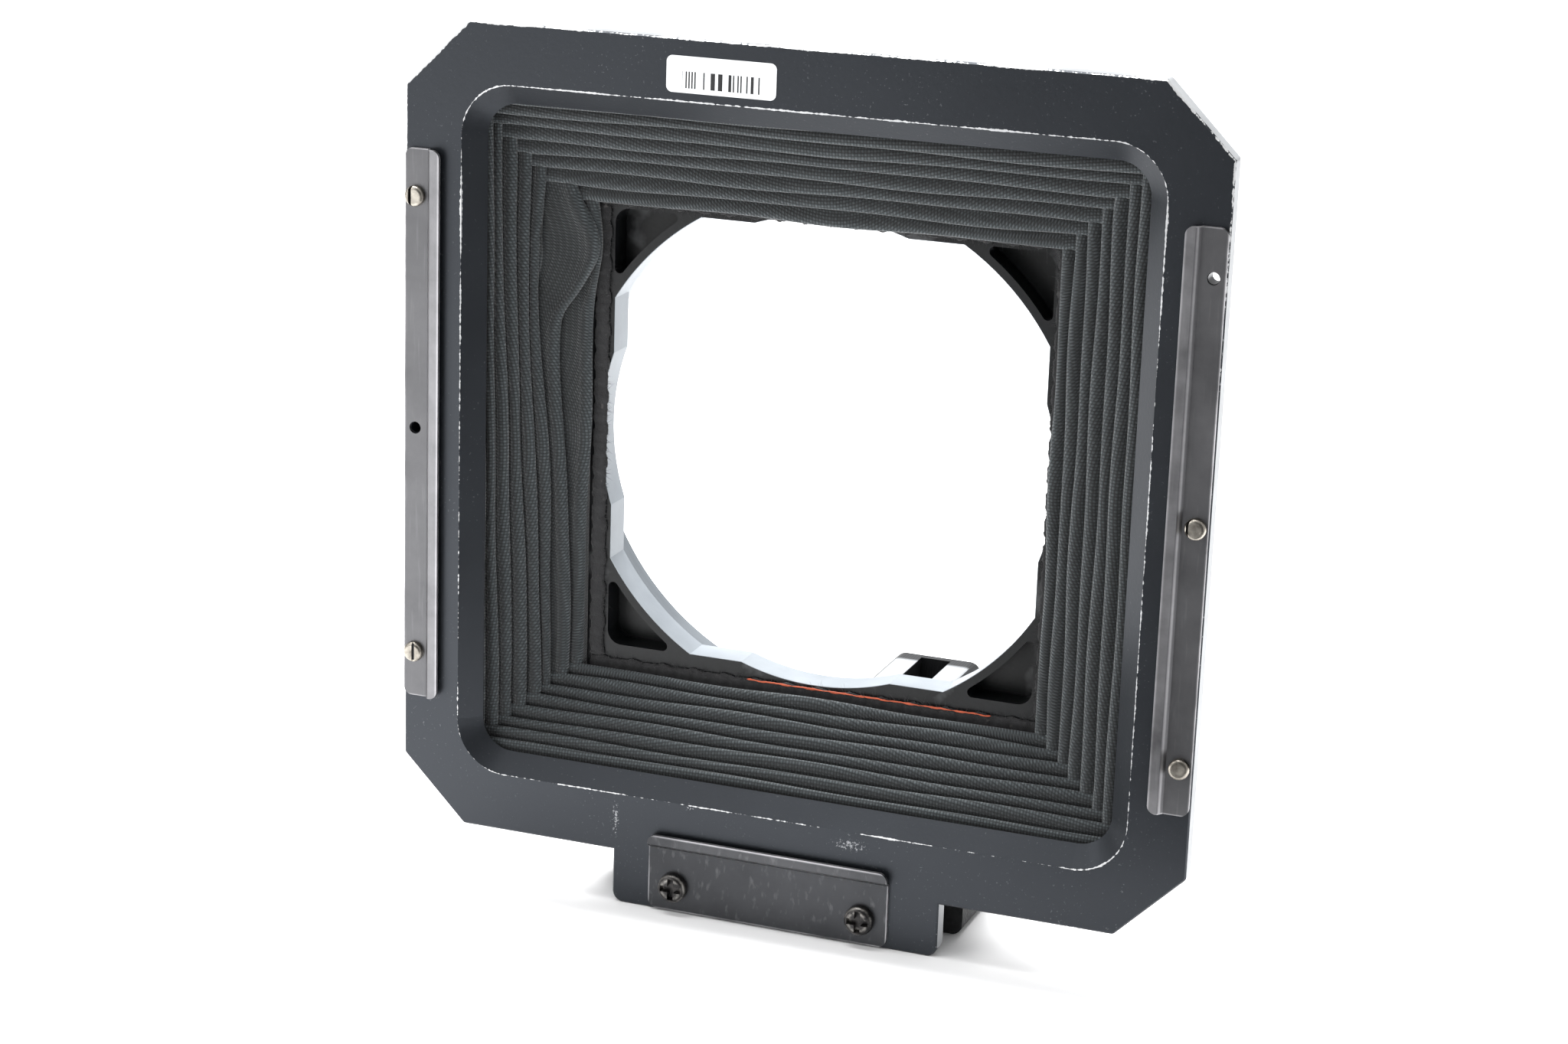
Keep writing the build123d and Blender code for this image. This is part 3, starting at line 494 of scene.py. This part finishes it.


# Rubberised cotton, plain woven: greenish black, paler in patches of wear, and painted paler on the crowns of
# the folds and darker down the legs between them, a painted shade in the gaps between the ridges.
# Its threads lie 0.4 mm apart and are drawn 0.85 mm apart so that they show.
def bellows_cotton(thread=0.85 * MM):
    made, tree, spot, *_ = new_finish("rubberised_cotton")
    # plain weave: the product of two sine waves, one per thread direction, whose size dips at the gaps
    # between threads and whose sign tells the thread on top
    waves = []
    for way in add(tree, "SeparateXYZ", (add(tree, "UVMap", uv_map="cloth"),)).node.outputs[:2]:
        wave = add(tree, "Math", (way, np.pi / thread), operation="MULTIPLY")
        waves.append(add(tree, "Math", (wave,), operation="SINE"))
    both = add(tree, "Math", waves, operation="MULTIPLY")
    weave = add(tree, "Math", (both,), operation="ABSOLUTE")
    weave = add(tree, "Math", (weave, 0.82), operation="MULTIPLY")
    weave = add(tree, "Math", (both, 0.18, weave), operation="MULTIPLY_ADD")
    patch = add(tree, "TexNoise", {"Vector": spot, "Scale": 0.07 / MM, "Detail": 5.0, "Roughness": 0.6})
    nub = add(tree, "TexNoise", {"Vector": spot, "Scale": 1.4 / MM, "Detail": 2.0})
    crease = add(tree, "TexNoise", {"Vector": spot, "Scale": 0.13 / MM, "Detail": 3.0})
    # painted shade: the cloth is painted paler on the crowns of the folds and darker down the legs between
    # them, where shade falls in the gaps between the ridges; the noise adds paler patches of wear
    crown = add(tree, "Attribute", out=2, attribute_name="crown")
    wear_and_shade = add(tree, "Math", (patch, 0.3), operation="MULTIPLY")
    wear_and_shade = add(tree, "Math", (crown, 0.75, wear_and_shade), operation="MULTIPLY_ADD", use_clamp=True)
    thread_share = add(tree, "Math", (wear_and_shade, 0.9, 0.15), operation="MULTIPLY_ADD")
    thread_share = add(tree, "Math", (weave, thread_share), operation="MULTIPLY")
    lift = add(tree, "Math", (crease, 3.5, weave), operation="MULTIPLY_ADD")
    lift = add(tree, "Math", (nub, 0.4, lift), operation="MULTIPLY_ADD")
    cotton = add(tree, "BsdfPrincipled", {
        "Base Color": layered(tree, "#090A0B", (wear_and_shade, "#212628"), (thread_share, "#565E61")),
        "Roughness": 0.85, "Sheen Weight": 0.25, "Sheen Roughness": 0.5,
        "Normal": add(tree, "Bump", {"Height": lift, "Distance": 0.17 * MM})})
    add(tree, "OutputMaterial", (cotton,))
    return made


def give(finish, *names):
    """Puts a finish on every material slot of the CAD nodes."""
    for name in names:
        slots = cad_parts[name].data.materials
        if not slots:
            slots.append(finish)
        for i in range(len(slots)):
            slots[i] = finish


guide_low, guide_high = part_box("right_guide_rail")
clip_low, clip_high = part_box("bottom_clip")
head_low, head_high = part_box("clip_screws")
shoe_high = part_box("camera_shoe")[1]
cross_heads = [(x, head_low.y + CROSS_RIM, head_low.z + CROSS_HEAD)
               for x in (head_low.x + CROSS_HEAD, head_high.x - CROSS_HEAD)]
give(enamel_plate(), "front_plate")
give(black_paint("frame_black_paint", "#0C0D0E", "#151719", 0.42, 1.2, 0.03, 4.0, bare_opening=True),
     "rear_frame")
give(black_paint("rough_cast_paint", "#151617", "#222325", 0.62, 1.0, 0.25, 3.0), "carriage", "rail_bracket")
# the lips of the rails get half a share of the painted highlight and the clip's lip a tenth
give(blackened_sheet("blackened_steel_guide", 0, guide_low.x + 0.1 * MM, 0.7 * MM, 0.5,
                     ((0, guide_high.x), (2, guide_low.z), (2, guide_high.z)), (1.0, 1.0, 0.08),
                     "#48484A", "#767678"), "left_guide_rail", "right_guide_rail")
give(blackened_sheet("blackened_steel_clip", 2, clip_high.z - 0.1 * MM, 0.5 * MM, 0.1,
                     ((2, clip_low.z), (0, clip_low.x), (0, clip_high.x)), (0.7, 1.0, 0.3),
                     "#2C2D2F", "#4E4F52"), "bottom_clip")
give(turned_screw("worn_nickel_plate", "#6F6A63", "#C9C3B8", 0.35, 1.0), "lens_ring_screws", "shoe_screws")
give(turned_screw("worn_nickel_guide_screws", "#6F6A63", "#C9C3B8", 0.35, 1.0,
                  slotted=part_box("guide_rail_screws")), "guide_rail_screws")
give(turned_screw("worn_black_oxide_steel", "#18181A", "#4A4847", 0.36, 0.8, cross_heads=cross_heads),
     "clip_screws")
give(turned_screw("black_oxide_steel", "#1F1F20", "#4A4846", 0.38, 0.8),
     "bracket_screws", "rail_screws", "carriage_screws")
give(turned_screw("turned_steel", "#85868A", "#C6C7C9", 0.25, 1.0), "lock_stud")
give(label_film(), "inventory_label")
give(matt_solid("black_fibre_board", "#131314", "#1F1F21", 0.75, 0.8, 0.05), "bellows_front_frame")
give(anodised("turned_satin_aluminium", 1, 2.6, "#6E747A", "#969CA2", 0.34, metal=0.5), "lens_ring")
# the rail and the shoe get a painted reflection on their upper faces, short of the shoe's end
give(anodised("milled_black_anodising", 0, 0.8, "#1B1C1E", "#292A2D", 0.40,
              top_sheen=(shoe_high.z, shoe_high.y - 5 * MM)), "support_rail", "camera_shoe")
give(matt_solid("natural_nylon", "#C8C5B8", "#DAD7CC", 0.5, 3.0, 0.02), "stud_tip")
give(matt_solid("moulded_black_plastic", "#121213", "#1C1C1E", 0.42, 0.6, 0.02), "lock_knob")

# ---- Folded cloth -----------------------------------------------------------------------------------
# Lengths are in mm here, and y is counted from the front of the plate.

FOLDS = 8
FOLD_PITCH = 1.9
FIRST_Y = 6.5
FOLD_DEPTH = 8.0
ROLL_REACH = 1.75
ROLL_LEAST = 0.7
ROLL_FRONT = 1.5
ROLL_BACK = 0.7
OUTER_ROLL = 1.3
ROLL_TURN = np.radians(150)
CORNER_ROUND = 1.2
FLANGE_BEYOND_FELT = 0.9
FLANGE_RISE = 0.8
FLANGE_Y = 23.65
CLOTH_THICK = 0.5
SIDE_STEPS = 64
PANEL_STEP = 190.0


def ridge_places(side, s):
    """Distance from the axis of the inner crown of each ridge on one side, folds by places s along it.
    s runs from -1 to 1. Each is a straight run from the front to the rear ridge with a slow wave;
    the left side also bunches forward and one of its folds has popped inwards near the top."""
    i = np.arange(-1, FOLDS + 1)[:, None]
    share = i / (FOLDS - 1)
    s = s[None, :]
    if side == "right":
        place = 88.9 - 26.2 * share + 0 * s
    elif side == "top":
        place = 88.5 - 3.1 * i - 0.09 * np.clip(i, 0, None) ** 2 + 0 * s
    elif side == "bottom":
        place = 86.9 - 2.9 * i + 0 * s
    else:
        high = 91.0 - 26.0 * np.clip(share, 0, None) ** 1.75
        low = 90.3 - 3.35 * i
        # s = 1 is the top corner of the left side
        place = low + (high - low) * np.clip((s + 0.75) / 1.45, 0, 1)
        # height in mm from the axis: the side is shorter at each fold further back
        z = s * (94 - 3.2 * i) - 1
        place = place + 1.9 * (i == 4) * np.exp(-(((z - 26) / 24) ** 2))
        place = place + (i == 5) * (1.2 + 2.6 * np.exp(-(((z - 36) / 26) ** 2)))
        popped = 8.0 * np.exp(-(((z - 53) / 12) ** 2))
        popped = popped - 3.6 / (1 + np.exp((z - 36) / 1.8)) * np.exp(-(((z - 30) / 38) ** 2))
        place = place - (i == 6) * popped
        place = place - (i == 7) * 1.9 * np.exp(-(((z - 54) / 11) ** 2))
    wave = 0.28 * np.sin(3.1 * s * (1 + 0.13 * i) + 2.4 * i) + 0.16 * np.sin(9.7 * s + 5.1 * i)
    quiet = np.clip((1 - np.abs(s)) / 0.12, 0, 1)
    return place + wave * quiet


def crown_row(side, s):
    """Distance of every crown, inner and outer in turn, from the axis; the outer lie a fold depth out."""
    inner = ridge_places(side, s)
    outer = (inner[:-1] + inner[1:]) / 2 + FOLD_DEPTH
    rows = np.empty((2 * FOLDS + 1, s.size))
    if side in ("top", "bottom"):
        rows[1::2] = inner[1:-1]
        rows[0::2] = outer
    else:
        rows[0::2] = inner[:-1]
        rows[1::2] = outer[:-1]
    return rows


def fold_profile(crowns, first_inner, pinch, flange):
    """The cloth's path over the crowns: half an oval roll at each crown and a straight leg between.
    An inner roll bulges forwards, and is as wide as the room to the ridge before it. crowns is crowns by
    places; first_inner is 0 or 1, the first inner crown; pinch scales the rolls at each place; flange is
    where the cloth ends. Gives the distance, the y and how far up an inner crown, path by places."""
    rolls, fronts, backs = [], [], []
    for k in range(len(crowns)):
        if k % 2 == first_inner:
            before = crowns[k - 2] - crowns[k] if k > 1 else np.full_like(crowns[k], 3.6)
            rolls.append(np.clip(0.47 * before, ROLL_LEAST, ROLL_REACH))
            fronts.append(ROLL_FRONT * rolls[-1] / ROLL_REACH)
            backs.append(ROLL_BACK * rolls[-1] / ROLL_REACH)
        else:
            rolls.append(np.full_like(crowns[k], OUTER_ROLL))
            fronts.append(np.full_like(crowns[k], ROLL_BACK))
            backs.append(np.full_like(crowns[k], ROLL_BACK))
    angle = np.linspace(0, ROLL_TURN, 6)[:, None]
    legs = np.linspace(0, 1, 4)[1:-1, None]
    reach_rows, y_rows, bend_rows = [], [], []
    for k in range(len(crowns) - 1):
        start, stop = crowns[k], crowns[k + 1]
        way = np.sign(stop - start)
        room = 0.27 * np.abs(stop - start)
        roll_0, roll_1 = np.minimum(rolls[k], room), np.minimum(rolls[k + 1], room)
        y0, y1 = FIRST_Y + k * FOLD_PITCH / 2, FIRST_Y + (k + 1) * FOLD_PITCH / 2
        turn = angle[::-1]
        first = start + way * roll_0 * (1 - np.cos(angle)), y0 + backs[k] * pinch * np.sin(angle)
        last = stop - way * roll_1 * (1 - np.cos(turn)), y1 - fronts[k + 1] * pinch * np.sin(turn)
        leg = [a[-1] + (b[0] - a[-1]) * legs for a, b in zip(first, last)]
        reach_rows += [first[0], leg[0], last[0][:-1]]
        y_rows += [first[1], leg[1], last[1][:-1]]
        inner_first, inner_last = (way > 0) * np.cos(angle), (way < 0) * np.cos(turn)
        bend_rows += [inner_first, 0 * leg[0], inner_last[:-1]]
    # past the last crown the cloth runs flat over the felt's outer edge and down on to the frame
    y_last = FIRST_Y + FOLDS * FOLD_PITCH
    flat = np.linspace(0, 1, 4)[1:, None]
    end = crowns[-1:]
    reach_rows += [end, end + (flange - end) * flat, 0 * end + flange + 0.2]
    y_rows += [0 * end + y_last, y_last + FLANGE_RISE * flat**0.5 + 0 * end, 0 * end + FLANGE_Y]
    bend_rows += [(end < crowns[-2:-1]) * 1.0, 0 * flat + 0 * end, 0 * end]
    return np.vstack(reach_rows), np.vstack(y_rows), np.clip(np.vstack(bend_rows), 0, 1)


def folded_cloth():
    """Closed loops of cloth, one per step of the path. Each loop is a four-sided outline whose sides
    stand off the axis by the fold profile of that side; long sides and short ones fold in turn, so the
    ridges cross at the corners like logs. Corners are quadratic curves."""
    s = np.linspace(-1, 1, SIDE_STEPS)
    pinch = 0.5 + 0.5 * np.clip((1 - np.abs(s)) / 0.10, 0, 1) ** 0.7
    sides = {}
    for side, axis_of, end in (("right", 0, 1), ("top", 2, 1), ("left", 0, 0), ("bottom", 2, 0)):
        outer_edge = list(from_axis("felt_strip_" + side))[end][axis_of]
        flange = abs(outer_edge) + FLANGE_BEYOND_FELT
        sides[side] = fold_profile(crown_row(side, s), axis_of // 2, pinch, flange)
    reach = {side: sides[side][0] for side in sides}
    y_path, crown = sides["right"][1], {side: sides[side][2] for side in sides}
    r, t, l, b = (reach[side] for side in ("right", "top", "left", "bottom"))
    # each side's run between its corners, and whether the loop goes along s or against it: right up,
    # top to the left, left down, bottom to the right
    spans = {"right": (-b[:, -1:], t[:, :1], 1), "top": (-l[:, -1:], r[:, -1:], -1),
             "left": (-b[:, :1], t[:, -1:], -1), "bottom": (-l[:, :1], r[:, :1], 1)}
    loops, ys, crowns, us = [], [], [], []
    for number, (side, (first, last, order)) in enumerate(spans.items()):
        middle, half = (first + last) / 2, (last - first) / 2 - CORNER_ROUND
        flip = slice(None, None, order)
        along = (middle + half * s[None, :])[:, flip]
        away = reach[side][:, flip] * (1 if side in ("right", "top") else -1)
        upright = side in ("right", "left")
        loops.append(np.stack([away, along] if upright else [along, away], -1))
        ys.append(y_path)
        crowns.append(crown[side][:, flip])
        us.append(number * PANEL_STEP + order * (along - middle))
    corner_steps = np.linspace(0, 1, 5)[1:-1]
    pieces, y_all, crown_all, u_all = [], [], [], []
    for number in range(4):
        here, after = loops[number], loops[(number + 1) % 4]
        start, stop = here[:, -1], after[:, 0]
        turn = np.where(np.array([number % 2 == 0, number % 2 == 1]), start, stop)
        q = corner_steps[None, :, None]
        arc = (1 - q) ** 2 * start[:, None] + 2 * q * (1 - q) * turn[:, None] + q**2 * stop[:, None]
        y_arc = np.repeat(ys[number][:, -1:], 3, 1)
        pieces += [here, arc]
        y_all += [ys[number], y_arc]
        crown_all += [crowns[number], 0 * y_arc]
        u_all += [us[number], us[number][:, -1:] + corner_steps[None, :] * 2.0]
    xz, y, crown, u = (np.concatenate(rows, 1) for rows in (pieces, y_all, crown_all, u_all))
    points = np.stack([xz[..., 0], y, xz[..., 1]], -1)
    rows, cols = y.shape
    step = np.linalg.norm(np.diff(points, axis=0), axis=-1)
    v = np.vstack([np.zeros((1, cols)), np.cumsum(step, 0)])
    i, j = np.meshgrid(np.arange(rows - 1), np.arange(cols), indexing="ij")
    nxt = (j + 1) % cols
    row, row_after = i * cols, (i + 1) * cols
    faces = np.stack([row + j, row_after + j, row_after + nxt, row + nxt], -1).reshape(-1, 4)
    cloth = mesh_piece("folded_bellows", points.reshape(-1, 3) * MM + AXIS, faces)
    uv = cloth.data.uv_layers.new(name="cloth")
    u_next = np.where(nxt == 0, u[i, j] + 1.0, u[i, nxt])
    u_low = np.where(nxt == 0, u[i + 1, j] + 1.0, u[i + 1, nxt])
    corner_uvs = ((u[i, j], v[i, j]), (u[i + 1, j], v[i + 1, j]), (u_low, v[i + 1, nxt]), (u_next, v[i, nxt]))
    pairs = np.stack([np.stack(pair, -1) for pair in corner_uvs], -2)
    uv.data.foreach_set("uv", (pairs * MM).ravel())
    # the crown value carries the painted shade of the cloth: paler on the crowns, darker in the gaps between
    # the ridges
    crown_shading = cloth.data.attributes.new("crown", "FLOAT", "POINT")
    crown_shading.data.foreach_set("value", crown.ravel().astype(np.float32))
    return cloth


bellows = folded_cloth()
bellows.data.materials.append(bellows_cotton())
wall = bellows.modifiers.new("cloth_thickness", "SOLIDIFY")
wall.thickness = CLOTH_THICK * MM
wall.offset = 0
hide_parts("bellows")
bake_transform(bellows)

# ---- Felt and adhesive on the rear frame ------------------------------------------------------------


def wavering(s, seed, scale, octaves=4):
    """A smooth random line: sine waves of doubling pitch and falling height, phases from the seed."""
    rng = np.random.default_rng(seed)
    total = np.zeros_like(s)
    for k in range(octaves):
        total += np.sin(2 * np.pi * s / scale * 2**k + rng.uniform(0, 2 * np.pi)) / 1.6**k
    return total / 2


RIM = 12  # points round a strip's section


def ragged_strip(name, low, high, along, seed, fray, swell, step=0.6):
    """A strip between two corners in mm from the axis crossing: an oval section carried along its
    length, with the two edges and the crown moved by wavering lines. Both ends close on a point."""
    other = 2 - along
    length = high[along] - low[along]
    count = int(length / step)
    run = np.linspace(0, length, count)
    a = np.linspace(0, 2 * np.pi, RIM, endpoint=False)
    width, thick = (high[other] - low[other]) / 2, (high[1] - low[1]) / 2
    edge_out, edge_in = wavering(run, seed, 9.0, 6) * fray, wavering(run, seed + 1, 7.0, 6) * fray
    section = np.sign(np.cos(a)) * np.abs(np.cos(a)) ** 0.5
    across = section[None] * (width + np.where(section > 0, edge_out[:, None], edge_in[:, None]))
    tall = np.sign(np.sin(a)) * np.abs(np.sin(a)) ** 0.6
    lump = 1 + swell * wavering(run, seed + 2, 5.0, 5)[:, None] * (tall < 0)
    rise = tall[None] * thick * lump
    shut = np.clip(np.minimum(run, length - run) / 0.5, 0, 1)[:, None] ** 0.5
    points = np.zeros((count, RIM, 3))
    points[..., along] = low[along] + run[:, None]
    points[..., other] = (low[other] + high[other]) / 2 + across * shut
    points[..., 1] = (low[1] + high[1]) / 2 + rise * np.maximum(shut, 0.02)
    i, j = np.meshgrid(np.arange(count - 1), np.arange(RIM), indexing="ij")
    here, after = i * RIM, (j + 1) % RIM
    faces = np.stack([here + j, here + after, here + RIM + after, here + RIM + j], -1).reshape(-1, 4)
    return mesh_piece(name, points.reshape(-1, 3) * MM + AXIS, faces)


def fibres(name, roots, ways, lengths, seed, thick=0.065):
    """Loose fibres: each is a three-sided tapering tube of four rings that leaves its root in its
    direction and curls by a random amount."""
    rng = np.random.default_rng(seed)
    count = len(roots)
    t = np.linspace(0, 1, 4)[None, :, None]
    curl = rng.normal(0, 0.55, (count, 1, 3))
    path = roots[:, None] + lengths[:, None, None] * (ways[:, None] * t + curl * t**2)
    ring = np.array([[np.cos(q), np.sin(q)] for q in (0.0, 2.094, 4.189)])
    side_a = np.cross(ways, rng.normal(0, 1, (count, 3)))
    side_a /= np.linalg.norm(side_a, axis=1)[:, None]
    side_b = np.cross(ways, side_a)
    offset = ring[:, 0][None, :, None] * side_a[:, None] + ring[:, 1][None, :, None] * side_b[:, None]
    taper = (thick * np.array([1.0, 0.8, 0.5, 0.05]))[None, :, None, None]
    points = path[:, :, None] + taper * offset[:, None]
    base = (np.arange(count) * 12)[:, None, None]
    k, m = np.meshgrid(np.arange(3), np.arange(3), indexing="ij")
    here, after = k * 3, (m + 1) % 3
    quad = np.stack([here + m, here + after, here + 3 + after, here + 3 + m], -1).reshape(1, 9, 4)
    faces = (base + quad).reshape(-1, 4)
    return mesh_piece(name, points.reshape(-1, 3) * MM + AXIS, faces)


felt = pressed_felt()
for seed, side in enumerate(("top", "bottom", "left", "right")):
    node = "felt_strip_" + side
    low, high = from_axis(node)
    along = 0 if side in ("top", "bottom") else 2
    other = 2 - along
    strip = ragged_strip("frayed_" + node, low, high, along, 11 * seed + 3, 0.45, 0.5)
    rng = np.random.default_rng(40 + seed)
    count = 700
    inward = -1.0 if side in ("top", "right") else 1.0
    inner_edge = low[other] if inward < 0 else high[other]
    roots = np.zeros((count, 3))
    roots[:, along] = rng.uniform(low[along], high[along], count)
    roots[:, other] = inner_edge - inward * rng.uniform(0.1, 1.2, count)
    roots[:, 1] = low[1] + rng.uniform(0.1, 0.5, count)
    ways = rng.normal(0, 0.6, (count, 3))
    ways[:, other] = inward * rng.uniform(0.5, 1.2, count)
    ways[:, 1] = -np.abs(ways[:, 1]) * 0.4
    ways /= np.linalg.norm(ways, axis=1)[:, None]
    fluff = fibres("fibres_" + node, roots, ways, rng.uniform(0.4, 1.8, count), 70 + seed)
    for piece in (strip, fluff):
        piece.data.materials.append(felt)
        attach(piece, "rear_standard")
    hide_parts(node)

low, high = from_axis("adhesive_edge")
line = ragged_strip("adhesive_line", low + [0, 0, 0.4], high, 0, 91, 0.19, 0.3, step=0.4)
line.data.materials.append(matt_solid("orange_adhesive", "#8E3A20", "#D2603A", 0.6, 3.5, 0.05))
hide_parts("adhesive_edge")
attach(line, "rear_standard")

low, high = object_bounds()
